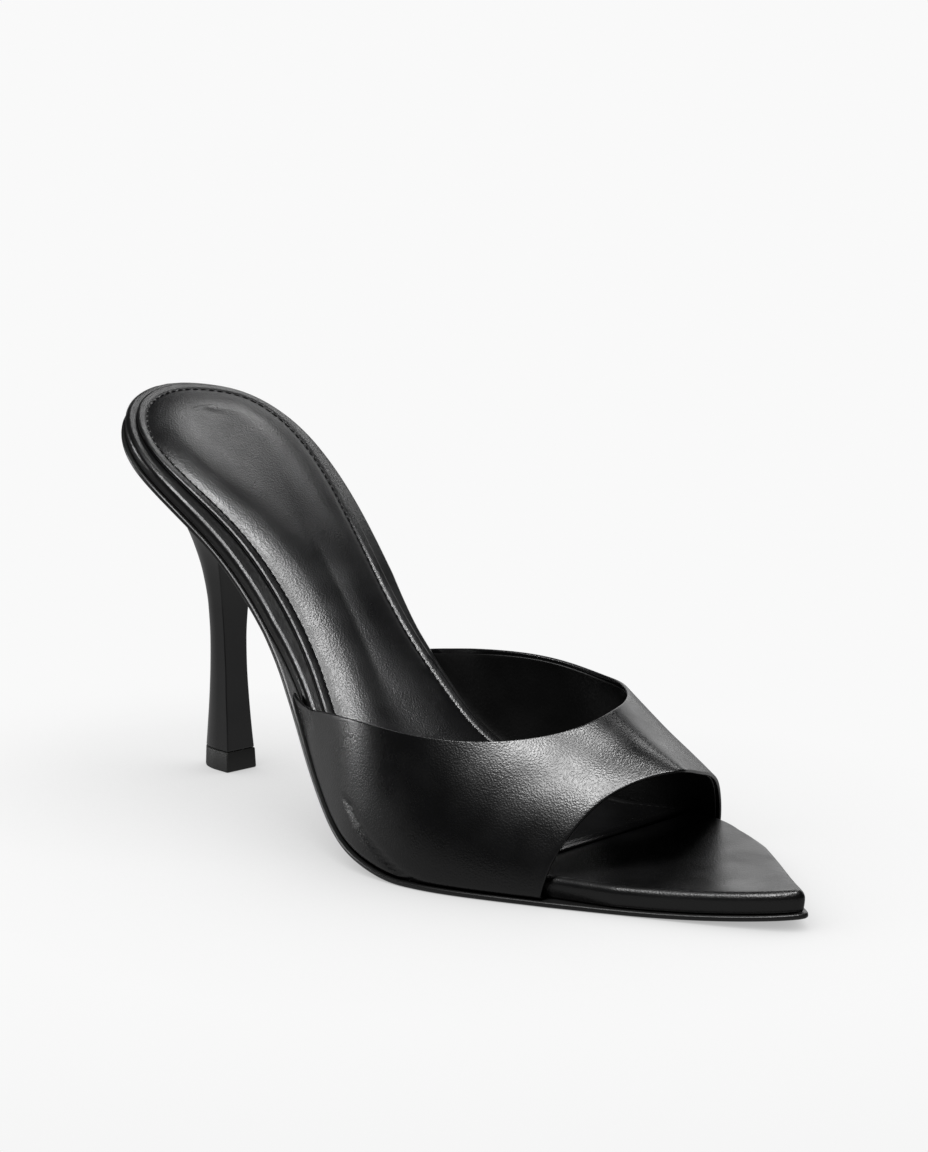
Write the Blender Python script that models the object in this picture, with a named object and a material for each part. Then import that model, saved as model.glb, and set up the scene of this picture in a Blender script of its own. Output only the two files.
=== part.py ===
"""High heel mule with a pointed open toe, right shoe, modelled piece by piece as its maker builds it.

Units are metres. +X runs from the heel to the toe, +Y to the inner side of the foot and +Z up.
The origin is the middle of the heel's floor face. Table columns are shares of the size they name.
"""

import math

import bmesh
import bpy
import numpy as np

# Sole: sizes along the floor, across and up
SOLE_LENGTH = 0.230
SEAT_OVERHANG = 0.02525
SEAT_RISE = 0.0942
TOE_SPRING = 0.0028
SEAT_WIDTH = 0.0541
WAIST_WIDTH = 0.0383
BALL_WIDTH = 0.0816
WAIST_LEAN = 0.205
BACK_TUCK = 0.0024

# Thicknesses, and the gap that neighbouring pieces keep
OUTSOLE_THICKNESS = 0.0014
INSOLE_THICKNESS = 0.0034
TOE_PAD_THICKNESS = 0.0051
SOCK_THICKNESS = 0.0010
SOCK_PADDING = 0.0010
UPPER_WALL = 0.0015
CLEARANCE = 0.0003

# Sock lining: how far its edge stands in from the outline, and its front end on each side
SOCK_INSET = 0.0042
SOCK_FRONT_OUTER = 0.1655
SOCK_FRONT_INNER = 0.1570

# Upper: height of its ridge above the floor where the throat lies
RIDGE_HEIGHT = 0.0440
RIDGE_OFFSET = 0.0400
SIDE_LEAN_OUTER = 0.0030
SIDE_LEAN_INNER = 0.0080

# Heel and its top piece, the small lift that stands on the floor
TOP_PIECE_HEIGHT = 0.0053
TOP_PIECE_LENGTH = 0.0129
TOP_PIECE_WIDTH = 0.0098
HEEL_BREAST = 0.0212
HEEL_SEAT_INSET = 0.0010

# How finely the pieces are cut into flat faces
SOLE_STATIONS = 66
UPPER_COLUMNS = 60
UPPER_ROWS = 14
HEEL_LEVELS = 26

# Half widths of the outline, with the width each row follows
OUTLINE = (
    # along, width, outer, inner
    (0.000, SEAT_WIDTH, 0.000, 0.000),
    (0.010, SEAT_WIDTH, 0.225, 0.225),
    (0.035, SEAT_WIDTH, 0.389, 0.389),
    (0.090, SEAT_WIDTH, 0.500, 0.500),
    (0.150, SEAT_WIDTH, 0.485, 0.489),
    (0.205, WAIST_WIDTH, 0.598, 0.620),
    (0.265, WAIST_WIDTH, 0.558, 0.518),
    (0.330, WAIST_WIDTH, 0.602, 0.446),
    (0.400, BALL_WIDTH, 0.357, 0.216),
    (0.455, BALL_WIDTH, 0.422, 0.249),
    (0.520, BALL_WIDTH, 0.488, 0.365),
    (0.580, BALL_WIDTH, 0.507, 0.478),
    (0.640, BALL_WIDTH, 0.488, 0.541),
    (0.700, BALL_WIDTH, 0.428, 0.545),
    (0.760, BALL_WIDTH, 0.351, 0.494),
    (0.820, BALL_WIDTH, 0.272, 0.402),
    (0.880, BALL_WIDTH, 0.189, 0.292),
    (0.930, BALL_WIDTH, 0.116, 0.191),
    (0.970, BALL_WIDTH, 0.050, 0.109),
    (0.991, BALL_WIDTH, 0.005, 0.066),
    (1.000, BALL_WIDTH, -0.036, 0.036),
)

# Rise of the outsole's underside above the floor, from the back to where the forefoot lies flat
RISE = (
    # along, height
    (0.00, 1.000),
    (0.05, 0.938),
    (0.10, 0.867),
    (0.15, 0.788),
    (0.20, 0.701),
    (0.25, 0.606),
    (0.30, 0.499),
    (0.35, 0.384),
    (0.40, 0.273),
    (0.45, 0.172),
    (0.50, 0.091),
    (0.55, 0.033),
    (0.61, 0.000),
)
FLAT_END = 0.82

# The stretch over which the waist leans outwards, and the one over which the seat's wall stands upright
LEAN_START = 0.12
LEAN_END = 0.61
TUCK_END = 0.12

# Distance of the outsole's edge outside the outline and of the insole's inside it, in metres
EDGES = (
    # along, outsole, insole
    (0.00, 0.0003, 0.0002),
    (0.29, 0.0003, 0.0002),
    (0.345, 0.0009, 0.0014),
    (0.42, 0.0008, 0.0020),
    (0.77, 0.0008, 0.0020),
    (0.83, 0.0003, 0.0002),
    (1.00, 0.0002, 0.0002),
)

# Ridge of the last under the upper: height as a share of the throat's, offset to the inner side
RIDGE = (
    # along, height, offset
    (0.300, 3.50, -0.02),
    (0.500, 2.28, -0.04),
    (0.646, 1.29, -0.03),
    (0.760, 0.86, -0.01),
    (0.850, 0.67, 0.03),
    (0.950, 0.45, 0.08),
)

# Topline and mouth of the upper: how far along the shoe they lie at each share of the way round
TOPLINE = (
    # around, along
    (0.00, 0.345),
    (0.03, 0.393),
    (0.07, 0.451),
    (0.12, 0.532),
    (0.18, 0.617),
    (0.26, 0.686),
    (0.37, 0.728),
    (0.50, 0.734),
    (0.63, 0.710),
    (0.74, 0.657),
    (0.82, 0.589),
    (0.88, 0.512),
    (0.93, 0.446),
    (0.97, 0.398),
    (1.00, 0.361),
)
MOUTH = (
    # around, along
    (0.00, 0.762),
    (0.08, 0.770),
    (0.16, 0.780),
    (0.26, 0.795),
    (0.38, 0.820),
    (0.50, 0.834),
    (0.62, 0.825),
    (0.74, 0.794),
    (0.84, 0.750),
    (0.92, 0.718),
    (1.00, 0.701),
)

# Heel from the top piece up: level as a share of the seat's rise, and how far it spreads to the seat
HEEL = (
    # level, back, front, half width, spread
    (0.060, 0.490, 0.475, 0.460, 0.000),
    (0.120, 0.445, 0.437, 0.428, 0.000),
    (0.200, 0.385, 0.390, 0.402, 0.000),
    (0.285, 0.350, 0.360, 0.378, 0.000),
    (0.365, 0.325, 0.338, 0.385, 0.002),
    (0.450, 0.320, 0.330, 0.420, 0.012),
    (0.520, 0.330, 0.330, 0.450, 0.045),
    (0.575, 0.390, 0.330, 0.480, 0.110),
    (0.620, 0.480, 0.330, 0.500, 0.220),
    (0.650, 0.560, 0.330, 0.520, 0.380),
    (0.670, 0.600, 0.330, 0.540, 0.580),
    (0.680, 0.620, 0.330, 0.550, 0.800),
    (0.690, 0.630, 0.330, 0.560, 1.000),
)


def column(rows, index):
    """One column of a table."""
    return np.array([row[index] for row in rows], float)


def smooth(knots, values, at, level_end=False):
    """Cubic curve through the knots, with free ends or a level last end."""
    knots, values, at = (np.asarray(v, float) for v in (knots, values, at))
    step = np.diff(knots)
    slope = np.diff(values) / step
    count = len(knots)
    matrix = np.eye(count)
    right = np.zeros(count)
    for i in range(1, count - 1):
        matrix[i, i - 1:i + 2] = step[i - 1], 2 * (step[i - 1] + step[i]), step[i]
        right[i] = 6 * (slope[i] - slope[i - 1])
    if level_end:
        matrix[-1, -2:] = step[-1], 2 * step[-1]
        right[-1] = -6 * slope[-1]
    bend = np.linalg.solve(matrix, right)
    i = np.clip(np.searchsorted(knots, at) - 1, 0, count - 2)
    t = at - knots[i]
    first = slope[i] - step[i] * (2 * bend[i] + bend[i + 1]) / 6
    return values[i] + t * first + t ** 2 * bend[i] / 2 + t ** 3 * (bend[i + 1] - bend[i]) / (6 * step[i])


def steady(knots, values, at):
    """Curve through the knots that never overshoots them."""
    knots, values, at = (np.asarray(v, float) for v in (knots, values, at))
    step = np.diff(knots)
    slope = np.diff(values) / step
    tangent = np.zeros(len(knots))
    for i in range(1, len(knots) - 1):
        if slope[i - 1] * slope[i] > 0:
            w1, w2 = 2 * step[i] + step[i - 1], step[i] + 2 * step[i - 1]
            tangent[i] = (w1 + w2) / (w1 / slope[i - 1] + w2 / slope[i])
    tangent[0], tangent[-1] = slope[0], slope[-1]
    i = np.clip(np.searchsorted(knots, at) - 1, 0, len(knots) - 2)
    t = np.clip((at - knots[i]) / step[i], 0, 1)
    return ((1 + 2 * t) * (1 - t) ** 2 * values[i] + t * (1 - t) ** 2 * step[i] * tangent[i]
            + t ** 2 * (3 - 2 * t) * values[i + 1] + t ** 2 * (t - 1) * step[i] * tangent[i + 1])


def even(curve, shares):
    """Points at the given shares of a curve's length."""
    length = np.concatenate([[0], np.cumsum(np.linalg.norm(np.diff(curve, axis=0), axis=1))])
    return np.stack([np.interp(shares * length[-1], length, curve[:, k]) for k in range(curve.shape[1])], axis=1)


def outline_loop():
    """Plan of the sole from the back along the outer side to the tip and back along the inner side."""
    x = column(OUTLINE, 0) * SOLE_LENGTH
    outer = np.stack([x, -column(OUTLINE, 1) * column(OUTLINE, 2)], axis=1)
    inner = np.stack([x, column(OUTLINE, 1) * column(OUTLINE, 3)], axis=1)
    knots = np.vstack([outer, inner[-2::-1]])
    wrap = 4
    knots = np.vstack([knots[-1 - wrap:-1], knots, knots[1:1 + wrap]])
    chord = np.concatenate([[0], np.cumsum(np.linalg.norm(np.diff(knots, axis=0), axis=1) ** 0.75)])
    start, end = chord[wrap], chord[-1 - wrap]
    tip = chord[wrap + len(OUTLINE) - 1]
    at = np.concatenate([np.linspace(start, tip, 700), np.linspace(tip, end, 700)[1:]])
    return np.stack([smooth(chord, knots[:, k], at) for k in (0, 1)], axis=1)


LOOP = outline_loop()
TIP = 699


def side_curve(side, out):
    """One side of the outline from back to tip, moved outwards; side is -1 outer or 1 inner."""
    ahead = np.roll(LOOP[:-1], -1, axis=0) - np.roll(LOOP[:-1], 1, axis=0)
    ahead /= np.linalg.norm(ahead, axis=1)[:, None]
    normal = np.stack([ahead[:, 1], -ahead[:, 0]], axis=1)
    normal = np.vstack([normal, normal[:1]])
    share = LOOP[:, 0] / SOLE_LENGTH
    moved = LOOP + normal * np.broadcast_to(out(share) if callable(out) else out, len(LOOP))[:, None]
    return moved[:TIP + 1] if side < 0 else moved[TIP:][::-1]


def across(x, side, out):
    """Side distance of the moved outline at places along the shoe."""
    curve = side_curve(side, out)
    return np.interp(x, curve[:, 0], curve[:, 1])


def outsole_out(share):
    return np.interp(share, column(EDGES, 0), column(EDGES, 1))


def insole_out(share):
    return -np.interp(share, column(EDGES, 0), column(EDGES, 2))


def rise(x):
    """Height of the outsole's underside on the shoe's middle line."""
    share = np.asarray(x, float) / SOLE_LENGTH
    flat_start = RISE[-1][0]
    arch = SEAT_RISE * smooth(column(RISE, 0), column(RISE, 1), np.clip(share, 0, flat_start), level_end=True)
    arch = arch + np.minimum(share, 0) * SOLE_LENGTH * (RISE[1][1] - RISE[0][1]) / RISE[1][0] * SEAT_RISE / SOLE_LENGTH
    spring = TOE_SPRING * (np.maximum(share - FLAT_END, 0) / (1 - FLAT_END)) ** 2
    return np.where(share >= flat_start, spring, arch)


def lean(x):
    """Slope of the sole across the shoe, only at the waist."""
    stretch = np.clip((np.asarray(x, float) / SOLE_LENGTH - LEAN_START) / (LEAN_END - LEAN_START), 0, 1)
    return WAIST_LEAN * np.sin(np.pi * stretch) ** 2


def put(x, y, height):
    """A place above the underside: along from the back, across, and up square to the profile."""
    x, y, height = np.broadcast_arrays(np.asarray(x, float), np.asarray(y, float), np.asarray(height, float))
    slope = (rise(x + 0.0005) - rise(x - 0.0005)) / 0.001
    length = np.sqrt(1 + slope ** 2)
    z = rise(x) + lean(x) * y + height / length
    edge = OUTSOLE_THICKNESS + CLEARANCE + INSOLE_THICKNESS
    tuck = BACK_TUCK * np.maximum(1 - x / SOLE_LENGTH / TUCK_END, 0) ** 2 * (1 - height / edge)
    return np.stack([x - SEAT_OVERHANG - height * slope / length + tuck, y, z], axis=-1)


def add_object(name, points, faces, material):
    """One closed mesh object with its material."""
    mesh = bpy.data.meshes.new(name)
    mesh.from_pydata([tuple(p) for p in points], [], faces)
    shape = bmesh.new()
    shape.from_mesh(mesh)
    bmesh.ops.remove_doubles(shape, verts=shape.verts, dist=0.000002)
    bmesh.ops.dissolve_degenerate(shape, edges=shape.edges, dist=0.000002)
    bmesh.ops.recalc_face_normals(shape, faces=shape.faces)
    shape.to_mesh(mesh)
    shape.free()
    mesh.materials.append(material)
    item = bpy.data.objects.new(name, mesh)
    bpy.context.scene.collection.objects.link(item)
    return item


def add_material(name, colour, roughness, coat):
    """A plain surface for one piece."""
    material = bpy.data.materials.new(name)
    material.use_nodes = True
    shader = material.node_tree.nodes["Principled BSDF"]
    shader.inputs["Base Color"].default_value = (*colour, 1.0)
    shader.inputs["Roughness"].default_value = roughness
    shader.inputs["Coat Weight"].default_value = coat
    return material


def ladder_piece(name, rings, material):
    """A piece from rings of an outer and an inner side, closed below and above by rungs."""
    points, faces = [], []
    count = len(rings[0][0])
    for outer, inner in rings:
        points += list(outer) + list(inner)
    size = 2 * count
    for k in range(len(rings) - 1):
        low, high = k * size, (k + 1) * size
        for i in range(count - 1):
            faces.append((low + i, low + i + 1, high + i + 1, high + i))
            a, b = low + count + i, high + count + i
            faces.append((a + 1, a, b, b + 1))
        faces.append((low + count, low, high, high + count))
        faces.append((low + count - 1, low + size - 1, high + size - 1, high + count - 1))
    top = (len(rings) - 1) * size
    for i in range(count - 1):
        faces.append((i, count + i, count + i + 1, i + 1))
        faces.append((top + i, top + i + 1, top + count + i + 1, top + count + i))
    return add_object(name, points, faces, material)


def stations(count):
    """Shares along the shoe, closer together at both ends."""
    t = np.linspace(0, 1, count)
    return 0.35 * t + 0.65 * (1 - np.cos(np.pi * t)) / 2


def sole_ring(out, inset, height, end_outer=1.0, end_inner=1.0):
    """Both sides of a ring on the sole, moved in from an edge and raised."""
    t = stations(SOLE_STATIONS)
    sides = []
    for side, end in ((-1, end_outer), (1, end_inner)):
        edge = side_curve(side, out)
        moved = side_curve(side, lambda share: out(share) - (inset(share) if callable(inset) else inset))
        reach = edge[:, 0] / SOLE_LENGTH
        at = np.interp(t * end, (reach - reach[0]) / (reach[-1] - reach[0]), np.arange(len(edge)))
        x = np.interp(at, np.arange(len(edge)), moved[:, 0])
        y = np.interp(at, np.arange(len(edge)), moved[:, 1])
        sides.append(put(x, y, height(x / SOLE_LENGTH) if callable(height) else height))
    return sides


def build_outsole(material):
    """Thin sole that follows the outline, the arch and the toe spring."""
    full = OUTSOLE_THICKNESS
    shape = ((0.0006, 0.0), (0.00015, 0.0002), (0.0, 0.0006), (0.0, full - 0.0003), (0.0003, full))
    return ladder_piece("outsole", [sole_ring(outsole_out, inset, height) for inset, height in shape], material)


def insole_height(share):
    """Thickness of the insole, which grows to the rounded pad under the toes."""
    t = np.clip((share - 0.60) / 0.16, 0, 1)
    return INSOLE_THICKNESS + (TOE_PAD_THICKNESS - INSOLE_THICKNESS) * t * t * (3 - 2 * t)


def build_insole(material):
    """Wrapped board with a rounded rim, thicker under the toes."""
    base = OUTSOLE_THICKNESS + CLEARANCE
    rings = [sole_ring(insole_out, 0.0003, base), sole_ring(insole_out, 0.0, base + 0.0004)]
    for degrees in (0, 18, 36, 54, 72, 90):
        c, s = math.cos(math.radians(degrees)), math.sin(math.radians(degrees))

        def inset(share, c=c):
            return (1 - c) * 0.48 * insole_height(share)

        def height(share, s=s):
            return base + insole_height(share) * (0.52 + 0.48 * s)

        rings.append(sole_ring(insole_out, inset, height))
    return ladder_piece("insole", rings, material)


def build_sock(material):
    """Padded lining glued on the insole, from the seat to the toe opening."""
    base = OUTSOLE_THICKNESS + 2 * CLEARANCE

    def height(lift):
        return lambda share: base + insole_height(share) + lift

    ends = (SOCK_FRONT_OUTER / SOLE_LENGTH, SOCK_FRONT_INNER / SOLE_LENGTH)
    pad = SOCK_THICKNESS + SOCK_PADDING
    shape = ((0.0, 0.0), (0.0, SOCK_THICKNESS * 0.7), (0.0003, SOCK_THICKNESS), (0.0022, SOCK_THICKNESS),
             (0.0034, SOCK_THICKNESS + 0.3 * SOCK_PADDING), (0.0060, SOCK_THICKNESS + 0.8 * SOCK_PADDING), (0.0100, pad))
    rings = [sole_ring(lambda share: 0 * share - SOCK_INSET, inset, height(lift), *ends) for inset, lift in shape]
    return ladder_piece("sock", rings, material)


def last_point(share, around, inward):
    """A place on the upper's outside or, moved inward, on its base line."""
    x = share * SOLE_LENGTH
    turn = np.pi * around
    c, s = np.cos(turn), np.sin(turn)
    base_height = OUTSOLE_THICKNESS + CLEARANCE
    foot = np.stack([put(x, across(x, side, lambda q: outsole_out(q) - 0.0002 - inward), base_height)
                     for side in (-1, 1)])
    foot = np.where((c > 0)[..., None], foot[0], foot[1])
    side = np.where(c > 0, -1.0, 1.0)
    ridge = RIDGE_HEIGHT * smooth(column(RIDGE, 0), column(RIDGE, 1), share)
    offset = RIDGE_OFFSET * smooth(column(RIDGE, 0), column(RIDGE, 2), share)
    tuck = np.where(c > 0, SIDE_LEAN_OUTER, SIDE_LEAN_INNER) * np.abs(np.sin(2 * turn)) * s * 1.3
    y = foot[..., 1] * np.abs(c) + offset * s - side * tuck
    z = foot[..., 2] + (ridge - foot[..., 2]) * s
    return np.stack([foot[..., 0] * (1 - s) + (x - SEAT_OVERHANG) * s, y, z], axis=-1)


def upper_grid():
    """Shares along and around for every corner of the upper's net, rows from topline to mouth."""
    fine = np.linspace(0, 1, 801)
    top_along = smooth(column(TOPLINE, 0), column(TOPLINE, 1), fine)
    mouth_along = smooth(column(MOUTH, 0), column(MOUTH, 1), fine)
    shares = np.linspace(0, 1, UPPER_COLUMNS + 1)

    def spread(along):
        points = last_point(along, fine, 0.0)
        length = np.concatenate([[0], np.cumsum(np.linalg.norm(np.diff(points, axis=0), axis=1))])
        return np.interp(shares, length / length[-1], fine)

    top_around, mouth_around = spread(top_along), spread(mouth_along)
    start = np.stack([np.interp(top_around, fine, top_along), top_around], axis=1)
    end = np.stack([np.interp(mouth_around, fine, mouth_along), mouth_around], axis=1)
    t = np.linspace(0, 1, UPPER_ROWS + 1)[:, None, None]
    return start + (end - start) * t


def build_upper(material):
    """One hollow band over the forefoot: an outer and an inner wall joined along all four edges."""
    net = upper_grid()
    along, around = net[..., 0], net[..., 1]
    outside = last_point(along, around, 0.0)
    d = 0.002
    da = last_point(along, np.clip(around + d, 0, 1), 0.0) - last_point(along, np.clip(around - d, 0, 1), 0.0)
    dx = last_point(along + d, around, 0.0) - last_point(along - d, around, 0.0)
    normal = np.cross(dx, da)
    normal /= np.linalg.norm(normal, axis=-1)[..., None]
    inside = outside - normal * UPPER_WALL
    feet = last_point(along, around, UPPER_WALL)
    inside[:, 0], inside[:, -1] = feet[:, 0], feet[:, -1]
    rows, columns = around.shape
    size = rows * columns
    points = np.vstack([outside.reshape(-1, 3), inside.reshape(-1, 3)])
    faces = []
    for r in range(rows - 1):
        for c in range(columns - 1):
            a, b = r * columns + c, (r + 1) * columns + c
            faces.append((a, a + 1, b + 1, b))
            faces.append((size + a, size + b, size + b + 1, size + a + 1))
    for c in range(columns - 1):
        for r, turn in ((0, 1), (rows - 1, -1)):
            a = r * columns + c
            faces.append((a, size + a, size + a + 1, a + 1)[::turn])
    for r in range(rows - 1):
        for c, turn in ((0, -1), (columns - 1, 1)):
            a, b = r * columns + c, (r + 1) * columns + c
            faces.append((a, size + a, size + b, b)[::turn])
    return add_object("upper", points, faces, material)


def shaft_side(back, front, half):
    """Half of a level heel section from the breast's corner round to the back."""
    turn = front - 0.35 * (front + back)
    angles = np.linspace(0, np.pi / 2, 25)
    curve = np.stack([turn - (turn + back) * np.sin(angles), half * np.cos(angles)], axis=1)
    return np.vstack([[front, half], curve])


def seat_side(side):
    """The outline of the seat from the breast's corner round to the back."""
    curve = side_curve(side, lambda share: 0 * share - HEEL_SEAT_INSET)
    x = curve[:, 0] - SEAT_OVERHANG
    keep = x < HEEL_BREAST
    corner = [HEEL_BREAST, np.interp(HEEL_BREAST, x, curve[:, 1])]
    return np.vstack([corner, np.stack([x[keep], curve[keep, 1]], axis=1)[::-1]])


def heel_ring(level, back, front, half, spread):
    """One closed ring of the heel, level on the shaft and spreading to the slope of the seat."""
    t = np.linspace(0, 1, 21)
    rings = []
    for side in (-1, 1):
        low = even(shaft_side(back, front, half), t) * (1, side)
        high = even(seat_side(side), t)
        under = put(high[:, 0] + SEAT_OVERHANG, high[:, 1], -CLEARANCE)
        low = np.column_stack([low, np.full(len(low), level)])
        rings.append(low * (1 - spread) + under * spread)
    breast = np.linspace(0, 1, 9)[1:-1, None]
    front_line = rings[0][0] * (1 - breast) + rings[1][0] * breast
    return np.vstack([rings[0][::-1], front_line, rings[1][:-1]])


def loft_piece(name, rings, material):
    """A piece from closed rings, shut at both ends by a fan."""
    count = len(rings[0])
    points = [p for ring in rings for p in ring]
    faces = []
    for k in range(len(rings) - 1):
        for i in range(count):
            j = (i + 1) % count
            faces.append((k * count + i, k * count + j, (k + 1) * count + j, (k + 1) * count + i))
    half = 20
    for k, turn in ((0, -1), (len(rings) - 1, 1)):
        ring = [k * count + i for i in range(count)]
        outer, front, inner = ring[:half + 1], ring[half + 1:half + 8], ring[half + 8:] + ring[:1]
        for i in range(half):
            quad = (outer[i], outer[i + 1], inner[half - 1 - i], inner[half - i])
            faces.append(quad[::turn])
        faces.append(tuple([outer[half]] + front + [inner[0]])[::turn])
    return add_object(name, points, faces, material)


def build_heel(material):
    """Slim heel with a flat breast that spreads to carry the whole seat."""
    levels = column(HEEL, 0) * SEAT_RISE
    knots = np.linspace(0, 1, len(HEEL))
    fine = np.linspace(0, 1, HEEL_LEVELS)
    levels[0] = TOP_PIECE_HEIGHT + CLEARANCE
    sizes = (levels, column(HEEL, 1) * TOP_PIECE_LENGTH, column(HEEL, 2) * TOP_PIECE_LENGTH,
             column(HEEL, 3) * TOP_PIECE_WIDTH, column(HEEL, 4))
    rows = np.stack([steady(knots, values, fine) for values in sizes], axis=1)
    return loft_piece("heel", [heel_ring(*row) for row in rows], material)


def build_top_piece(material):
    """Small lift under the heel, a little wider at the floor."""
    rings = []
    for height, grow in ((0.0, 0.97), (0.0003, 1.0), (TOP_PIECE_HEIGHT - 0.0002, 0.965), (TOP_PIECE_HEIGHT, 0.945)):
        half_length, half_width = grow * TOP_PIECE_LENGTH / 2, grow * TOP_PIECE_WIDTH / 2
        rings.append(heel_ring(height, half_length, half_length, half_width, 0.0))
    return loft_piece("top_piece", rings, material)


def build_all():
    """Clears the scene and builds every piece."""
    for item in list(bpy.data.objects):
        bpy.data.objects.remove(item, do_unlink=True)
    build_outsole(add_material("outsole_black", (0.012, 0.011, 0.011), 0.55, 0.0))
    build_insole(add_material("rim_leather", (0.010, 0.010, 0.011), 0.38, 0.1))
    build_sock(add_material("sock_leather", (0.014, 0.014, 0.015), 0.42, 0.1))
    build_upper(add_material("upper_leather", (0.011, 0.011, 0.012), 0.40, 0.1))
    build_heel(add_material("heel_gloss", (0.009, 0.009, 0.010), 0.25, 0.3))
    build_top_piece(add_material("top_piece_rubber", (0.015, 0.015, 0.015), 0.60, 0.0))


build_all()
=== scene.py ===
"""Looks of the high heel mule, right shoe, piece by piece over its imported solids.

Metres. A place on the sole is given along from the back of the seat, across with the inner side of the
foot positive, and up square to the sole. Table columns are shares of the size they name.
"""

import math
import bmesh
import bpy
import numpy as np
from mathutils import Matrix, Vector


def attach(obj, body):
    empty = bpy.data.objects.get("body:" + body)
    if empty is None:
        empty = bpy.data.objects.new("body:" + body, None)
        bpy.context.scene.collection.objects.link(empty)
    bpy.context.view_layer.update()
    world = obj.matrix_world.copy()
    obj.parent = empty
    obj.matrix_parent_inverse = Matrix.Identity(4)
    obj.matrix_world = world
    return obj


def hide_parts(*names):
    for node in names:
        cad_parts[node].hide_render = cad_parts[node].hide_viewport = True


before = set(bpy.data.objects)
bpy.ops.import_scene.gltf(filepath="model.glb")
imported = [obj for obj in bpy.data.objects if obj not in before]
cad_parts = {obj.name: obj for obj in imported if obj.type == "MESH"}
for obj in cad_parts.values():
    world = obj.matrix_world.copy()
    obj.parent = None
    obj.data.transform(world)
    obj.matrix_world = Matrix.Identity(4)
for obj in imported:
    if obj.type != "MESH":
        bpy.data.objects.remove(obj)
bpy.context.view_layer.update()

# Sole and pieces, the sizes of the solids
SOLE_LENGTH = 0.230
SEAT_OVERHANG = 0.02525
SEAT_RISE = 0.0942
TOE_SPRING = 0.0028
SEAT_WIDTH = 0.0541
WAIST_WIDTH = 0.0383
BALL_WIDTH = 0.0816
WAIST_LEAN = 0.205
BACK_TUCK = 0.0024
OUTSOLE_THICKNESS = 0.0014
INSOLE_THICKNESS = 0.0034
TOE_PAD_THICKNESS = 0.0051
CLEARANCE = 0.0003
SOCK_FRONT = (0.1655, 0.1570)
RIDGE_HEIGHT = 0.0440
RIDGE_OFFSET = 0.0400
SIDE_LEAN = (0.0030, 0.0080)
TOP_PIECE_HEIGHT = 0.0053
TOP_PIECE_LENGTH = 0.0129
TOP_PIECE_WIDTH = 0.0098
HEEL_BREAST = 0.0212
HEEL_SEAT_INSET = 0.0010

# Leather: thickness of the vamp and its lining, how far the lining stops short of the folded edge
VAMP_LEATHER = 0.0009
LINING = 0.0004
LINING_MARGIN = 0.0013
FEATHER_ROLL = 0.0014

# Stitches of the sock lining
STITCH_IN = 0.0025
STITCH_PITCH = 0.0023
STITCH_LENGTH = 0.0017
THREAD = 0.00034

# Needle holes: sizes of the small matte black marks that paint the shade inside them
NEEDLE_HOLE_LENGTH = 0.00070
NEEDLE_HOLE_WIDTH = 0.00052
NEEDLE_HOLE_ARCH = -0.00002
NEEDLE_HOLE_SINK = 0.00022
STITCH_FRONT_GAP = 0.004

# Sock lining: where its pad thins out towards the front, and its thickness there
PAD_END_LENGTH = 0.10
PAD_END_START = 0.12
PAD_END_THICKNESS = 0.0011

# Insole: where the toe pad begins and over what share it grows
TOE_PAD_START = 0.60
TOE_PAD_GROWTH = 0.16

# Vamp: width round the band that the pulls are measured on, and the fullness of its sides
BAND_WIDTH = 0.125
SIDE_FULLNESS = 1.3
FEATHER_COLUMNS = 12
LINING_GAP = 0.00005

# Leather finish: unevenness of its gloss and of its black; roughness of the clear coat on moulded pieces
GLOSS_SPREAD = 0.10
WORN = 0.0015
COAT_ROUGHNESS = 0.1

# Floor: its glow seen by the camera, and the weaker glow that lights the shoe
FLOOR_REACH = 9.0
# Painted contact shadow on the floor: how far the occlusion reaches, and how low the glow drops at the shoe
FLOOR_SHADE_DISTANCE = 0.10
FLOOR_SHADE = 0.42
FLOOR_FORWARD = (0.74, -0.67, 0.0)
FLOOR_FADE = (0.15, 0.55)
FLOOR_WHITE = (0.948, 0.86)
GLOW_MIDDLE = (0.08, 0.0, 0.0)
GLOW_FADE = (0.14, 0.50)
GLOW_LIGHT = (0.34, 0.04)

LIGHT_AIM = (0.08, 0.0, 0.03)

# How finely the pieces are cut
SOLE_ROWS = 220
SOLE_RUNGS = 14
VAMP_COLUMNS = 190
VAMP_ROWS = 56
ROLL_STEPS = 9
HEEL_LEVELS = 150
HEEL_SIDE = 44

# Camera at the photograph's angle
CAMERA_AZIMUTH = 47.6146
CAMERA_ELEVATION = 12.2408
CAMERA_DISTANCE = 1.17396
CAMERA_AIM = (0.061483, 0.049583)
CAMERA_ALONG = 0.00085
CAMERA_LENS = 140.63

OUTLINE = (
    # along, width, outer, inner
    (0.000, SEAT_WIDTH, 0.000, 0.000),
    (0.010, SEAT_WIDTH, 0.206, 0.214),
    (0.035, SEAT_WIDTH, 0.364, 0.389),
    (0.090, SEAT_WIDTH, 0.494, 0.502),
    (0.150, SEAT_WIDTH, 0.487, 0.505),
    (0.205, WAIST_WIDTH, 0.600, 0.644),
    (0.265, WAIST_WIDTH, 0.560, 0.544),
    (0.330, WAIST_WIDTH, 0.602, 0.468),
    (0.400, BALL_WIDTH, 0.357, 0.222),
    (0.455, BALL_WIDTH, 0.422, 0.249),
    (0.520, BALL_WIDTH, 0.488, 0.365),
    (0.580, BALL_WIDTH, 0.507, 0.478),
    (0.640, BALL_WIDTH, 0.488, 0.541),
    (0.700, BALL_WIDTH, 0.428, 0.545),
    (0.760, BALL_WIDTH, 0.351, 0.494),
    (0.820, BALL_WIDTH, 0.272, 0.402),
    (0.880, BALL_WIDTH, 0.189, 0.292),
    (0.930, BALL_WIDTH, 0.116, 0.191),
    (0.970, BALL_WIDTH, 0.050, 0.109),
    (0.991, BALL_WIDTH, 0.005, 0.066),
    (1.000, BALL_WIDTH, -0.036, 0.036),
)
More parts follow.
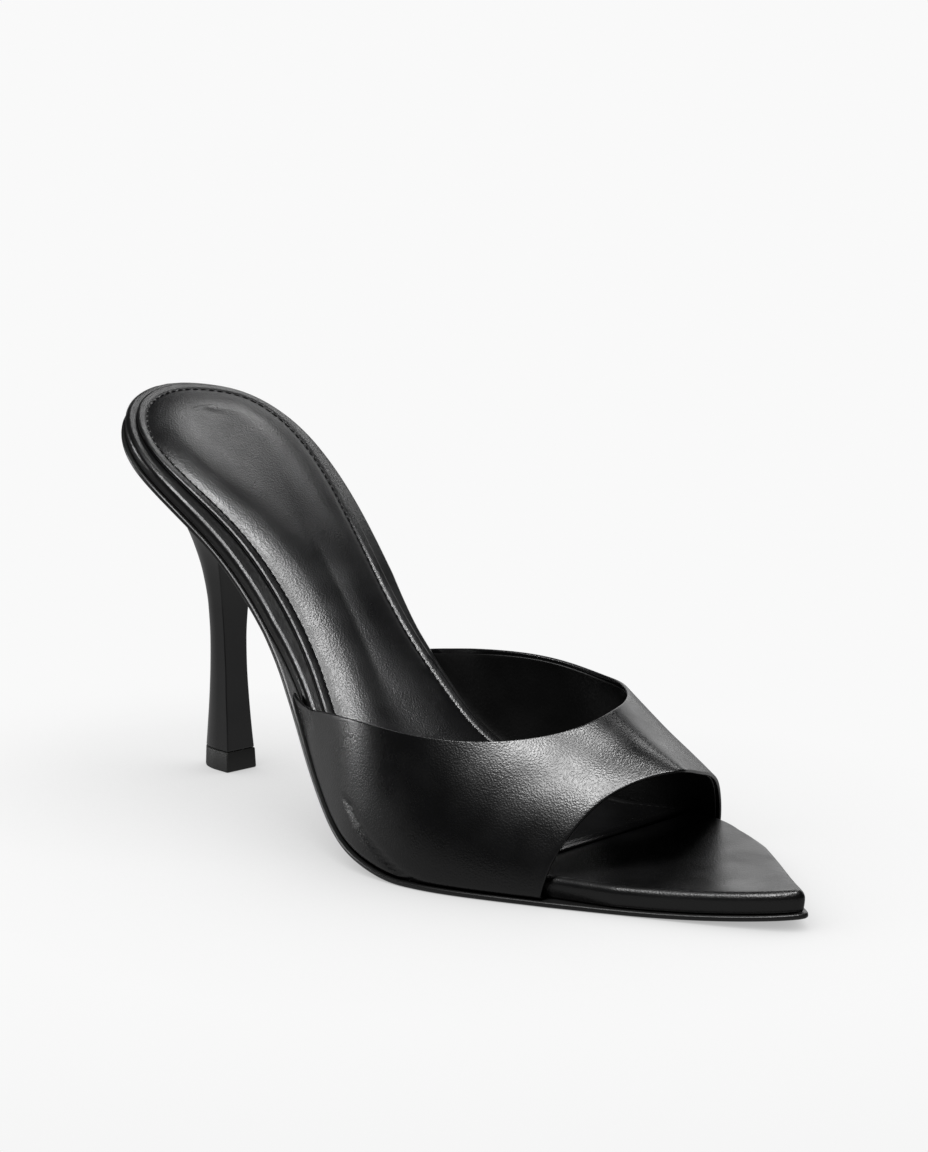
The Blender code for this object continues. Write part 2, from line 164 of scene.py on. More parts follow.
RISE = (
    # along, height
    (0.00, 1.000), (0.05, 0.938), (0.10, 0.867), (0.15, 0.788), (0.20, 0.701), (0.25, 0.606), (0.30, 0.499),
    (0.35, 0.384), (0.40, 0.273), (0.45, 0.172), (0.50, 0.091), (0.55, 0.033), (0.61, 0.000),
)
FLAT_END = 0.82
LEAN_START = 0.12
LEAN_END = 0.61
TUCK_END = 0.12
EDGES = (
    # along, outsole, insole
    (0.00, 0.0003, 0.0002), (0.29, 0.0003, 0.0002), (0.345, 0.0009, 0.0014), (0.42, 0.0008, 0.0020),
    (0.77, 0.0008, 0.0020), (0.83, 0.0003, 0.0002), (1.00, 0.0002, 0.0002),
)
SOCK_INSET = (
    # along, distance in from the outline
    (0.00, 0.0028), (0.05, 0.0028), (0.12, 0.0034), (0.22, 0.0042), (1.00, 0.0042),
)
RIDGE = (
    # along, height, offset
    (0.300, 3.50, -0.02), (0.500, 2.28, -0.04), (0.646, 1.29, -0.03),
    (0.760, 0.86, -0.01), (0.850, 0.67, 0.03), (0.950, 0.45, 0.08),
)
TOPLINE = (
    # around, along
    (0.00, 0.345), (0.03, 0.393), (0.07, 0.451), (0.12, 0.532), (0.18, 0.617), (0.26, 0.686), (0.37, 0.728),
    (0.50, 0.734), (0.63, 0.710), (0.74, 0.657), (0.82, 0.589), (0.88, 0.512), (0.93, 0.446), (0.97, 0.398),
    (1.00, 0.361),
)
MOUTH = (
    # around, along
    (0.00, 0.762), (0.08, 0.770), (0.16, 0.780), (0.26, 0.795), (0.38, 0.820), (0.50, 0.834), (0.62, 0.825),
    (0.74, 0.794), (0.84, 0.750), (0.92, 0.718), (1.00, 0.701),
)
HEEL = (
    # level, back, front, half width, spread
    (0.060, 0.490, 0.475, 0.460, 0.000), (0.120, 0.445, 0.437, 0.428, 0.000),
    (0.200, 0.385, 0.390, 0.402, 0.000), (0.285, 0.350, 0.360, 0.378, 0.000),
    (0.365, 0.325, 0.338, 0.385, 0.002), (0.450, 0.320, 0.330, 0.420, 0.014),
    (0.520, 0.330, 0.330, 0.450, 0.066), (0.575, 0.390, 0.330, 0.480, 0.148),
    (0.620, 0.480, 0.330, 0.500, 0.275), (0.650, 0.560, 0.330, 0.520, 0.450),
    (0.670, 0.600, 0.330, 0.540, 0.660), (0.680, 0.620, 0.330, 0.550, 0.860),
    (0.690, 0.630, 0.330, 0.560, 1.000),
)

# Top of the sock lining from its cut edge inwards: depth in from the edge and height, in metres
SOCK_PROFILE = (
    (0.0003, 0.00093), (0.0006, 0.0010), (0.0013, 0.0010), (0.0019, 0.00094), (0.0023, 0.00080),
    (0.0025, 0.00076), (0.0027, 0.00080), (0.0031, 0.00098), (0.0040, 0.00135), (0.0055, 0.00178),
    (0.0075, 0.00222), (0.0100, 0.00256), (0.0122, 0.00266), (0.0145, 0.00262), (0.0190, 0.00240),
    (0.0300, 0.00225),
)

# Soft pulls in the vamp: share along, share around, half length, half width, turn in degrees, depth in metres
PULLS = (
    (0.700, 0.330, 0.016, 0.0050, 62, 0.00016),
    (0.735, 0.245, 0.013, 0.0040, 50, 0.00014),
    (0.770, 0.420, 0.012, 0.0038, 78, 0.00010),
    (0.620, 0.900, 0.020, 0.0055, -24, 0.00018),
    (0.690, 0.800, 0.014, 0.0045, -52, 0.00014),
    (0.540, 0.955, 0.016, 0.0045, -10, -0.00012),
)


def column(rows, index):
    """One column of a table."""
    return np.array([row[index] for row in rows], float)


def smooth(knots, values, at, level_end=False):
    """Cubic curve through the knots, with free ends or a level last end."""
    knots, values, at = (np.asarray(v, float) for v in (knots, values, at))
    step = np.diff(knots)
    slope = np.diff(values) / step
    count = len(knots)
    matrix = np.eye(count)
    right = np.zeros(count)
    for i in range(1, count - 1):
        matrix[i, i - 1:i + 2] = step[i - 1], 2 * (step[i - 1] + step[i]), step[i]
        right[i] = 6 * (slope[i] - slope[i - 1])
    if level_end:
        matrix[-1, -2:] = step[-1], 2 * step[-1]
        right[-1] = -6 * slope[-1]
    bend = np.linalg.solve(matrix, right)
    i = np.clip(np.searchsorted(knots, at) - 1, 0, count - 2)
    t = at - knots[i]
    first = slope[i] - step[i] * (2 * bend[i] + bend[i + 1]) / 6
    return values[i] + t * first + t ** 2 * bend[i] / 2 + t ** 3 * (bend[i + 1] - bend[i]) / (6 * step[i])


def steady(knots, values, at):
    """Curve through the knots that never overshoots them."""
    knots, values, at = (np.asarray(v, float) for v in (knots, values, at))
    step = np.diff(knots)
    slope = np.diff(values) / step
    tangent = np.zeros(len(knots))
    for i in range(1, len(knots) - 1):
        if slope[i - 1] * slope[i] > 0:
            w1, w2 = 2 * step[i] + step[i - 1], step[i] + 2 * step[i - 1]
            tangent[i] = (w1 + w2) / (w1 / slope[i - 1] + w2 / slope[i])
    tangent[0], tangent[-1] = slope[0], slope[-1]
    i = np.clip(np.searchsorted(knots, at) - 1, 0, len(knots) - 2)
    t = np.clip((at - knots[i]) / step[i], 0, 1)
    return ((1 + 2 * t) * (1 - t) ** 2 * values[i] + t * (1 - t) ** 2 * step[i] * tangent[i]
            + t ** 2 * (3 - 2 * t) * values[i + 1] + t ** 2 * (t - 1) * step[i] * tangent[i + 1])


def even(curve, shares):
    """Points at the given shares of a curve's length."""
    length = np.concatenate([[0], np.cumsum(np.linalg.norm(np.diff(curve, axis=0), axis=1))])
    at = shares * length[-1]
    return np.stack([np.interp(at, length, curve[:, k]) for k in range(curve.shape[1])], axis=1)


def outline_loop():
    """Plan of the sole from the back along the outer side to the tip and back along the inner side."""
    x = column(OUTLINE, 0) * SOLE_LENGTH
    outer = np.stack([x, -column(OUTLINE, 1) * column(OUTLINE, 2)], axis=1)
    inner = np.stack([x, column(OUTLINE, 1) * column(OUTLINE, 3)], axis=1)
    knots = np.vstack([outer, inner[-2::-1]])
    wrap = 4
    knots = np.vstack([knots[-1 - wrap:-1], knots, knots[1:1 + wrap]])
    chord = np.concatenate([[0], np.cumsum(np.linalg.norm(np.diff(knots, axis=0), axis=1) ** 0.75)])
    start, end = chord[wrap], chord[-1 - wrap]
    tip = chord[wrap + len(OUTLINE) - 1]
    at = np.concatenate([np.linspace(start, tip, 1400), np.linspace(tip, end, 1400)[1:]])
    return np.stack([smooth(chord, knots[:, k], at) for k in (0, 1)], axis=1)


LOOP = outline_loop()
TIP = 1399


def side_curve(side, out):
    """One side of the outline from back to tip, moved outwards; side is -1 outer or 1 inner."""
    ahead = np.roll(LOOP[:-1], -1, axis=0) - np.roll(LOOP[:-1], 1, axis=0)
    ahead /= np.linalg.norm(ahead, axis=1)[:, None]
    normal = np.stack([ahead[:, 1], -ahead[:, 0]], axis=1)
    normal = np.vstack([normal, normal[:1]])
    moved = LOOP + normal * np.broadcast_to(out(LOOP[:, 0] / SOLE_LENGTH), len(LOOP))[:, None]
    return moved[:TIP + 1] if side < 0 else moved[TIP:][::-1]


def across(x, side, out):
    """Side distance of the moved outline at places along the shoe."""
    curve = side_curve(side, out)
    return np.interp(x, curve[:, 0], curve[:, 1])


def outsole_out(share):
    return np.interp(share, column(EDGES, 0), column(EDGES, 1))


def insole_out(share):
    return -np.interp(share, column(EDGES, 0), column(EDGES, 2))


def sock_out(share):
    return -np.interp(share, column(SOCK_INSET, 0), column(SOCK_INSET, 1))


def insole_height(share):
    """Thickness of the insole, which grows to the rounded pad under the toes."""
    t = np.clip((share - TOE_PAD_START) / TOE_PAD_GROWTH, 0, 1)
    return INSOLE_THICKNESS + (TOE_PAD_THICKNESS - INSOLE_THICKNESS) * t * t * (3 - 2 * t)


def rise(x):
    """Height of the outsole's underside on the shoe's middle line."""
    share = np.asarray(x, float) / SOLE_LENGTH
    flat_start = RISE[-1][0]
    arch = SEAT_RISE * smooth(column(RISE, 0), column(RISE, 1), np.clip(share, 0, flat_start), level_end=True)
    arch = arch + np.minimum(share, 0) * SEAT_RISE * (RISE[1][1] - RISE[0][1]) / RISE[1][0]
    spring = TOE_SPRING * (np.maximum(share - FLAT_END, 0) / (1 - FLAT_END)) ** 2
    return np.where(share >= flat_start, spring, arch)


def lean(x):
    """Slope of the sole across the shoe, only at the waist."""
    stretch = np.clip((np.asarray(x, float) / SOLE_LENGTH - LEAN_START) / (LEAN_END - LEAN_START), 0, 1)
    return WAIST_LEAN * np.sin(np.pi * stretch) ** 2


def put(x, y, height):
    """A place above the underside: along from the back, across, and up square to the profile."""
    x, y, height = np.broadcast_arrays(np.asarray(x, float), np.asarray(y, float), np.asarray(height, float))
    slope = (rise(x + 0.0005) - rise(x - 0.0005)) / 0.001
    length = np.sqrt(1 + slope ** 2)
    z = rise(x) + lean(x) * y + height / length
    edge = OUTSOLE_THICKNESS + CLEARANCE + INSOLE_THICKNESS
    tuck = BACK_TUCK * np.maximum(1 - x / SOLE_LENGTH / TUCK_END, 0) ** 2 * (1 - height / edge)
    return np.stack([x - SEAT_OVERHANG - height * slope / length + tuck, y, z], axis=-1)


def make_piece(name, points, faces, material, replaced=None):
    """One closed smooth mesh that rides with the shoe."""
    mesh = bpy.data.meshes.new(name)
    mesh.from_pydata([tuple(p) for p in points], [], faces)
    shape = bmesh.new()
    shape.from_mesh(mesh)
    bmesh.ops.remove_doubles(shape, verts=shape.verts, dist=0.000002)
    bmesh.ops.dissolve_degenerate(shape, edges=shape.edges, dist=0.000002)
    bmesh.ops.recalc_face_normals(shape, faces=shape.faces)
    for face in shape.faces:
        face.smooth = True
    shape.to_mesh(mesh)
    shape.free()
    mesh.materials.append(material)
    item = bpy.data.objects.new(name, mesh)
    bpy.context.scene.collection.objects.link(item)
    if replaced:
        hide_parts(replaced)
    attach(item, "root")
    return item


def rows_along(count):
    """Shares along the shoe, closer together at both ends."""
    t = np.linspace(0, 1, count)
    return 0.35 * t + 0.65 * (1 - np.cos(np.pi * t)) / 2


def ring_plan(out, depth, shares, ends):
    """Both sides of a ring in plan, at a depth in from the piece's edge."""
    sides = []
    for side, end in zip((-1, 1), ends):
        edge = side_curve(side, out)
        moved = side_curve(side, lambda share: out(share) - (depth(share) if callable(depth) else depth))
        reach = np.maximum.accumulate(edge[:, 0]) / SOLE_LENGTH + np.arange(len(edge)) * 1e-9
        at = np.interp(shares * end, (reach - reach[0]) / (reach[-1] - reach[0]), np.arange(len(edge)))
        sides.append(np.stack([np.interp(at, np.arange(len(edge)), moved[:, k]) for k in (0, 1)], axis=1))
    return sides


def sole_piece(name, out, wall, top, rungs, ends, shares, material, replaced):
    """A piece that follows the sole: wall rings (depth, height), then a top of height(share, depth)."""
    columns = []
    for depth, height in wall:
        outer, inner = ring_plan(out, depth, shares, ends)
        columns.append([np.column_stack([s, height(s[:, 0] / SOLE_LENGTH) if callable(height) else
                                         np.full(len(s), height)]) for s in (outer, inner)])
    last_depth = wall[-1][0]
    outer, inner = columns[-1][0][:, :2], columns[-1][1][:, :2]
    width = np.linalg.norm(outer - inner, axis=1)
    middle = []
    for k in range(1, rungs):
        t = k / rungs
        plan = outer + (inner - outer) * t
        share = plan[:, 0] / SOLE_LENGTH
        start = last_depth(share) if callable(last_depth) else last_depth
        middle.append(np.column_stack([plan, top(share, start + width * min(t, 1 - t))]))
    net = [c[0] for c in columns] + middle + [c[1] for c in columns[::-1]]
    grid = np.stack([put(c[:, 0], c[:, 1], c[:, 2]) for c in net], axis=1)
    rows, count = grid.shape[:2]
    faces = [(r * count + c, (r + 1) * count + c,
              (r + 1) * count + (c + 1) % count, r * count + (c + 1) % count)
             for r in range(rows - 1) for c in range(count)]
    if min(ends) < 1:
        faces.append(tuple((rows - 1) * count + c for c in range(count)))
    return make_piece(name, grid.reshape(-1, 3), faces, material, replaced)


def build_outsole(material):
    """Thin black sole with a softly rounded edge."""
    full = OUTSOLE_THICKNESS
    wall = ((0.0030, 0.0), (0.0010, 0.0), (0.0005, 0.00006), (0.0002, 0.0002), (0.00004, 0.0004),
            (0.0, 0.0006), (0.0, full - 0.0004), (0.00006, full - 0.0002), (0.0003, full - 0.00004),
            (0.0006, full))
    return sole_piece("outsole_edge", outsole_out, wall, lambda s, d: full + 0 * s, 4, (1, 1),
                      rows_along(SOLE_ROWS), material, "outsole")


def build_insole(material):
    """Leather-wrapped board with a rounded rim and the smooth pad under the toes."""
    base = OUTSOLE_THICKNESS + CLEARANCE
    full = insole_height
    wall = [(lambda q: 0.30 * full(q), base)]
    for inset, up in ((0.15, 0.0), (0.12, 0.03), (0.085, 0.14), (0.045, 0.30), (0.014, 0.46), (0.0, 0.60)):
        wall.append((lambda q, inset=inset: inset * full(q), lambda q, up=up: base + up * full(q)))
    for degrees in range(9, 91, 9):
        c, s = math.cos(math.radians(degrees)), math.sin(math.radians(degrees))
        wall.append((lambda q, c=c: (1 - c) * 0.34 * full(q),
                     lambda q, s=s: base + full(q) * (0.60 + 0.40 * s)))
    return sole_piece("wrapped_insole", insole_out, wall, lambda s, d: base + insole_height(s), 8, (1, 1),
                      rows_along(SOLE_ROWS), material, "insole")


def sock_base(share):
    return OUTSOLE_THICKNESS + 2 * CLEARANCE + insole_height(share)


def sock_height(share, depth):
    """Height of the sock's top, with the cut edge rounded at its front."""
    front = SOCK_FRONT[1] / SOLE_LENGTH
    pad = steady(column(SOCK_PROFILE, 0), column(SOCK_PROFILE, 1), np.clip(depth, 0.0003, 0.03))
    flat = np.clip((share - front + PAD_END_START) / PAD_END_LENGTH, 0, 1)
    return sock_base(share) + pad * (1 - flat) + np.minimum(pad, PAD_END_THICKNESS) * flat


def build_sock(material):
    """Padded lining with a stitched channel round its cut edge."""
    wall = [(0.0002, lambda s: sock_base(s)), (0.0, lambda s: sock_base(s) + 0.0002),
            (0.0, lambda s: sock_base(s) + 0.00062), (0.0001, lambda s: sock_base(s) + 0.00082)]
    for depth in (*np.arange(0.0003, 0.0042, 0.0002), *np.arange(0.0042, 0.0112, 0.0005)):
        wall.append((float(depth), lambda s, d=float(depth): sock_height(s, d)))
    ends = tuple(front / SOLE_LENGTH for front in SOCK_FRONT)
    piece = sole_piece("padded_sock", sock_out, wall, sock_height, SOLE_RUNGS, ends,
                       rows_along(SOLE_ROWS), material, "sock")


def last_point(share, around):
    """A place on the outside of the upper, smooth as the last under it."""
    x = share * SOLE_LENGTH
    turn = np.pi * around
    c, s = np.cos(turn), np.sin(turn)
    base_height = OUTSOLE_THICKNESS + CLEARANCE
    foot = np.stack([put(x, across(x, side, lambda q: outsole_out(q) - 0.0002), base_height)
                     for side in (-1, 1)])
    foot = np.where((c > 0)[..., None], foot[0], foot[1])
    side = np.where(c > 0, -1.0, 1.0)
    ridge = RIDGE_HEIGHT * smooth(column(RIDGE, 0), column(RIDGE, 1), share)
    offset = RIDGE_OFFSET * smooth(column(RIDGE, 0), column(RIDGE, 2), share)
    tuck = np.where(c > 0, *SIDE_LEAN) * np.abs(np.sin(2 * turn)) * s * SIDE_FULLNESS
    y = foot[..., 1] * np.abs(c) + offset * s - side * tuck
    z = foot[..., 2] + (ridge - foot[..., 2]) * s
    return np.stack([foot[..., 0] * (1 - s) + (x - SEAT_OVERHANG) * s, y, z], axis=-1)


def vamp_columns():
    """Where the columns of the vamp's net meet its topline and its mouth."""
    fine = np.linspace(0, 1, 1601)
    top_along = smooth(column(TOPLINE, 0), column(TOPLINE, 1), fine)
    mouth_along = smooth(column(MOUTH, 0), column(MOUTH, 1), fine)
    shares = np.linspace(0, 1, VAMP_COLUMNS + 1)
    ends = []
    for along in (top_along, mouth_along):
        points = last_point(along, fine)
        length = np.concatenate([[0], np.cumsum(np.linalg.norm(np.diff(points, axis=0), axis=1))])
        around = np.interp(shares, length / length[-1], fine)
        ends.append(np.stack([np.interp(around, fine, along), around], axis=1))
    return ends


def surface_frame(along, around):
    """Point and outward normal for every place of the net."""
    d = 0.002
    point = last_point(along, around)
    around_step = last_point(along, np.clip(around + d, 0, 1)) - last_point(along, np.clip(around - d, 0, 1))
    along_step = last_point(along + d, around) - last_point(along - d, around)
    normal = np.cross(along_step, around_step)
    normal /= np.linalg.norm(normal, axis=-1)[..., None]
    return point, normal


def pulls(along, around):
    """Depth of the soft pulls in the leather."""
    depth = np.zeros(along.shape)
    for at_along, at_around, long, wide, turn, deep in PULLS:
        u = (along - at_along) * SOLE_LENGTH
        v = (around - at_around) * BAND_WIDTH
        c, s = math.cos(math.radians(turn)), math.sin(math.radians(turn))
        depth += deep * np.exp(-((u * c + v * s) / long) ** 2 - ((v * c - u * s) / wide) ** 2)
    return depth


def vamp_shell(name, margin, outer, inner, material, replaced=None):
    """A closed leather shell over the last, between two depths, with rolled edges."""
    top, mouth = vamp_columns()
    ends = last_point(mouth[:, 0], mouth[:, 1]) - last_point(top[:, 0], top[:, 1])
    length = np.linalg.norm(ends, axis=1)
    roll = (inner - outer) / 2
    start = (margin + roll) / length
    shares = start[None, :] + (1 - 2 * start[None, :]) * np.linspace(0, 1, VAMP_ROWS + 1)[:, None]
    along = top[:, 0] + (mouth[:, 0] - top[:, 0]) * shares
    around = top[:, 1] + (mouth[:, 1] - top[:, 1]) * shares
    point, normal = surface_frame(along, around)
    lift = pulls(along, around)[..., None]
    base = np.minimum(np.abs(point[..., 2] - point[:, :1, 2]), np.abs(point[..., 2] - point[:, -1:, 2]))
    near = np.minimum(np.arange(VAMP_COLUMNS + 1), np.arange(VAMP_COLUMNS + 1)[::-1]) < FEATHER_COLUMNS
    under = np.where(near, np.clip(1 - base / FEATHER_ROLL, 0, 1), 0)
    inward = np.zeros(point.shape)
    inward[..., 1] = np.where(np.arange(VAMP_COLUMNS + 1) < VAMP_COLUMNS / 2, 1, -1)
    point = point - normal * lift + inward * (FEATHER_ROLL * (1 - np.sqrt(1 - 0.92 * under ** 2)))[..., None]
    outside = point - normal * outer
    inside = point - normal * inner
    rings = list(outside)
    for edge, beyond in ((-1, -2), (0, 1)):
        ahead = outside[edge] - outside[beyond]
        ahead /= np.linalg.norm(ahead, axis=-1)[:, None]
        middle = (outside[edge] + inside[edge]) / 2
        half = (outside[edge] - inside[edge]) / 2
        turns = np.linspace(0, math.pi, ROLL_STEPS + 2)[1:-1]
        arc = [middle + half * math.cos(a) + ahead * roll * math.sin(a) for a in turns]
        if edge == -1:
            rings += arc + list(inside[::-1])
        else:
            rings += arc[::-1]
    grid = np.stack(rings, axis=0)
    rows, count = grid.shape[:2]
    faces = [(r * count + c, ((r + 1) % rows) * count + c,
              ((r + 1) % rows) * count + c + 1, r * count + c + 1)
             for r in range(rows) for c in range(count - 1)]
    for c in (0, count - 1):
        faces.append(tuple(r * count + c for r in range(rows)))
    return make_piece(name, grid.reshape(-1, 3), faces, material, replaced)


def shaft_side(back, front, half):
    """Half of a level heel section from the breast's corner round to the back."""
    turn = front - 0.35 * (front + back)
    angles = np.linspace(0, np.pi / 2, 61)
    curve = np.stack([turn - (turn + back) * np.sin(angles), half * np.cos(angles)], axis=1)
    return np.vstack([[front, half], curve])


def seat_side(side):
    """The outline of the seat from the breast's corner round to the back."""
    curve = side_curve(side, lambda share: 0 * share - HEEL_SEAT_INSET)
    x = curve[:, 0] - SEAT_OVERHANG
    keep = x < HEEL_BREAST
    corner = [HEEL_BREAST, np.interp(HEEL_BREAST, x, curve[:, 1])]
    return np.vstack([corner, np.stack([x[keep], curve[keep, 1]], axis=1)[::-1]])


def heel_ring(level, back, front, half, spread, corner=0.00035):
    """One closed ring of the heel, with softly rounded breast corners."""
    t = np.linspace(0, 1, HEEL_SIDE + 1)
    sides = []
    for side in (-1, 1):
        low = even(shaft_side(back, front, half), t) * (1, side)
        high = even(seat_side(side), t)
        under = put(high[:, 0] + SEAT_OVERHANG, high[:, 1], -CLEARANCE)
        low = np.column_stack([low, np.full(len(low), level)])
        sides.append(low * (1 - spread) + under * spread)
    breast = sides[1][0] - sides[0][0]
    breast_length = np.linalg.norm(breast)
    rounded = []
    for side, way in ((0, 1), (1, -1)):
        at, following = sides[side][0], sides[side][1]
        step = following - at
        first = at + step * min(1, corner / np.linalg.norm(step)) * 0.9
        last = at + way * breast * corner / breast_length
        turns = np.linspace(0, 1, 6)[:, None]
        rounded.append((1 - turns) ** 2 * first + 2 * turns * (1 - turns) * at + turns ** 2 * last)
    front_line = rounded[0][-1] + (rounded[1][-1] - rounded[0][-1]) * np.linspace(0, 1, 13)[1:-1, None]
    return np.vstack([sides[0][:0:-1], rounded[0], front_line, rounded[1][::-1], sides[1][1:-1]])


def loft(name, rings, material, replaced):
    """A piece from closed rings, shut at both ends by a fan from the middle."""
    count = len(rings[0])
    points = [p for ring in rings for p in ring]
    faces = [(k * count + i, k * count + (i + 1) % count,
              (k + 1) * count + (i + 1) % count, (k + 1) * count + i)
             for k in range(len(rings) - 1) for i in range(count)]
    for ring, k in ((rings[0], 0), (rings[-1], len(rings) - 1)):
        points.append(np.mean(ring, axis=0))
        faces += [(k * count + i, k * count + (i + 1) % count, len(points) - 1) for i in range(count)]
    return make_piece(name, points, faces, material, replaced)


def build_heel(material):
    """Slim glossy heel with a flat breast, spreading to carry the whole seat."""
    levels = column(HEEL, 0) * SEAT_RISE
    levels[0] = TOP_PIECE_HEIGHT + CLEARANCE * 0.5
    knots = np.linspace(0, 1, len(HEEL))
    sizes = (levels, column(HEEL, 1) * TOP_PIECE_LENGTH, column(HEEL, 2) * TOP_PIECE_LENGTH,
             column(HEEL, 3) * TOP_PIECE_WIDTH, column(HEEL, 4))
    rows = np.stack([steady(knots, values, np.linspace(0, 1, HEEL_LEVELS)) for values in sizes], axis=1)
    first = rows[0].copy()
    first[1:4] -= 0.00015
    rows[0][0] += 0.00015
    rings = [heel_ring(*first)] + [heel_ring(*row) for row in rows]
    return loft("heel_cover", rings, material, "heel")


def build_top_piece(material):
    """Small rubber lift with a slightly wider foot."""
    rings = []
    full = TOP_PIECE_HEIGHT
    for height, grow in ((0.0, 0.95), (0.0001, 0.985), (0.0004, 1.0), (0.0026, 0.985),
                         (full - 0.0003, 0.968), (full - 0.0001, 0.955), (full, 0.93)):
        half_length, half_width = grow * TOP_PIECE_LENGTH / 2, grow * TOP_PIECE_WIDTH / 2
        rings.append(heel_ring(height, half_length, half_length, half_width, 0.0, 0.0005))
    return loft("heel_lift", rings, material, "top_piece")


def stitch_path():
    """Line of the sock's stitching with the way up from the leather, from the front round the seat."""
    ends = tuple((front - STITCH_FRONT_GAP) / SOLE_LENGTH for front in SOCK_FRONT)
    shares = rows_along(500)
    outer, inner = ring_plan(sock_out, STITCH_IN, shares, ends)
    plan = np.vstack([outer[::-1], inner[1:]])
    height = sock_height(plan[:, 0] / SOLE_LENGTH, STITCH_IN)
    line = put(plan[:, 0], plan[:, 1], height)
    raised = put(plan[:, 0], plan[:, 1], height + 0.002)
    way_up = raised - line
    return line, way_up / np.linalg.norm(way_up, axis=1)[:, None]


def add_node(tree, kind, **values):
    """A node of a tree with its inputs and settings."""
    node = tree.nodes.new(kind)
    for key, value in values.items():
        if hasattr(node, key):
            setattr(node, key, value)
        else:
            node.inputs[key.replace("_", " ")].default_value = value
    return node


def times(tree, socket, factor):
    """A node that multiplies a value by a fixed factor."""
    node = add_node(tree, "ShaderNodeMath", operation="MULTIPLY")
    tree.links.new(socket, node.inputs[0])
    node.inputs[1].default_value = factor
    return node


def stitch_tree(material):
    """Geometry nodes that lay one arched thread at every pitch along a line."""
    tree = bpy.data.node_groups.new("laid_stitches", "GeometryNodeTree")
    face = tree.interface
    face.new_socket("Line", in_out="INPUT", socket_type="NodeSocketGeometry")
    for name, value in (("Pitch", STITCH_PITCH), ("Stitch length", STITCH_LENGTH), ("Thread width", THREAD),
                        ("Arch", THREAD * 1.5), ("Sink", THREAD * 0.75), ("Start", 0.0)):
        socket = face.new_socket(name, in_out="INPUT", socket_type="NodeSocketFloat")
        socket.default_value = value
    face.new_socket("Stitches", in_out="OUTPUT", socket_type="NodeSocketGeometry")
    start, end = tree.nodes.new("NodeGroupInput"), tree.nodes.new("NodeGroupOutput")
    link = tree.links.new
    curve = add_node(tree, "GeometryNodeMeshToCurve")
    link(start.outputs["Line"], curve.inputs["Mesh"])
    trim = add_node(tree, "GeometryNodeTrimCurve", mode="LENGTH")
    link(curve.outputs[0], trim.inputs["Curve"])
    link(start.outputs["Start"], trim.inputs[4])
    trim.inputs[5].default_value = 10.0
    cut = add_node(tree, "GeometryNodeResampleCurve", mode="LENGTH")
    link(trim.outputs[0], cut.inputs["Curve"])
    link(start.outputs["Pitch"], cut.inputs["Length"])
    half = times(tree, start.outputs["Stitch length"], 0.5)
    back = times(tree, half.outputs[0], -1.0)
    down = times(tree, start.outputs["Sink"], -1.0)
    thread = add_node(tree, "GeometryNodeCurveQuadraticBezier")
    thread.inputs["Resolution"].default_value = 8
    for socket, x, z in (("Start", back, down), ("Middle", None, start), ("End", half, down)):
        joined = add_node(tree, "ShaderNodeCombineXYZ")
        if x:
            link(x.outputs[0], joined.inputs["X"])
        link(z.outputs["Arch"] if z == start else z.outputs[0], joined.inputs["Z"])
        link(joined.outputs[0], thread.inputs[socket])
    profile = add_node(tree, "GeometryNodeCurvePrimitiveCircle")
    profile.inputs["Resolution"].default_value = 8
    radius = times(tree, start.outputs["Thread width"], 0.5)
    link(radius.outputs[0], profile.inputs["Radius"])
    swept = add_node(tree, "GeometryNodeCurveToMesh")
    link(thread.outputs[0], swept.inputs["Curve"])
    link(profile.outputs[0], swept.inputs["Profile Curve"])
    swept.inputs["Fill Caps"].default_value = True
    tangent = add_node(tree, "GeometryNodeInputTangent")
    along = add_node(tree, "FunctionNodeAlignRotationToVector", axis="X")
    link(tangent.outputs[0], along.inputs["Vector"])
    way_up = add_node(tree, "GeometryNodeInputNamedAttribute", data_type="FLOAT_VECTOR")
    way_up.inputs["Name"].default_value = "way_up"
    upright = add_node(tree, "FunctionNodeAlignRotationToVector", axis="Z", pivot_axis="X")
    link(along.outputs[0], upright.inputs["Rotation"])
    link(way_up.outputs[0], upright.inputs["Vector"])
    laid = add_node(tree, "GeometryNodeInstanceOnPoints")
    link(cut.outputs[0], laid.inputs["Points"])
    link(swept.outputs[0], laid.inputs["Instance"])
    link(upright.outputs[0], laid.inputs["Rotation"])
    real = add_node(tree, "GeometryNodeRealizeInstances")
    link(laid.outputs[0], real.inputs[0])
    finish = add_node(tree, "GeometryNodeSetMaterial")
    finish.inputs["Material"].default_value = material
    link(real.outputs[0], finish.inputs[0])
    link(finish.outputs[0], end.inputs[0])
    return tree


def lay_along(name, line, way_up, tree, sizes, material):
    """Runs the stitch nodes along a line and keeps the result as a plain mesh."""
    mesh = bpy.data.meshes.new(name + "_line")
    mesh.from_pydata([tuple(p) for p in line], [(i, i + 1) for i in range(len(line) - 1)], [])
    marks = mesh.attributes.new("way_up", "FLOAT_VECTOR", "POINT")
    marks.data.foreach_set("vector", np.asarray(way_up, np.float32).ravel())
    carrier = bpy.data.objects.new(name + "_line", mesh)
    bpy.context.scene.collection.objects.link(carrier)
    modifier = carrier.modifiers.new("laid_stitches", "NODES")
    modifier.node_group = tree
    names = {item.name: item.identifier for item in tree.interface.items_tree if item.in_out == "INPUT"}
    for key, value in sizes.items():
        modifier[names[key]] = value
    bpy.context.view_layer.update()
    graph = bpy.context.evaluated_depsgraph_get()
    made = bpy.data.meshes.new_from_object(carrier.evaluated_get(graph))
    bpy.data.objects.remove(carrier, do_unlink=True)
    made.name = name
    made.materials.clear()
    made.materials.append(material)
    for face in made.polygons:
        face.use_smooth = True
    item = bpy.data.objects.new(name, made)
    bpy.context.scene.collection.objects.link(item)
    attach(item, "root")


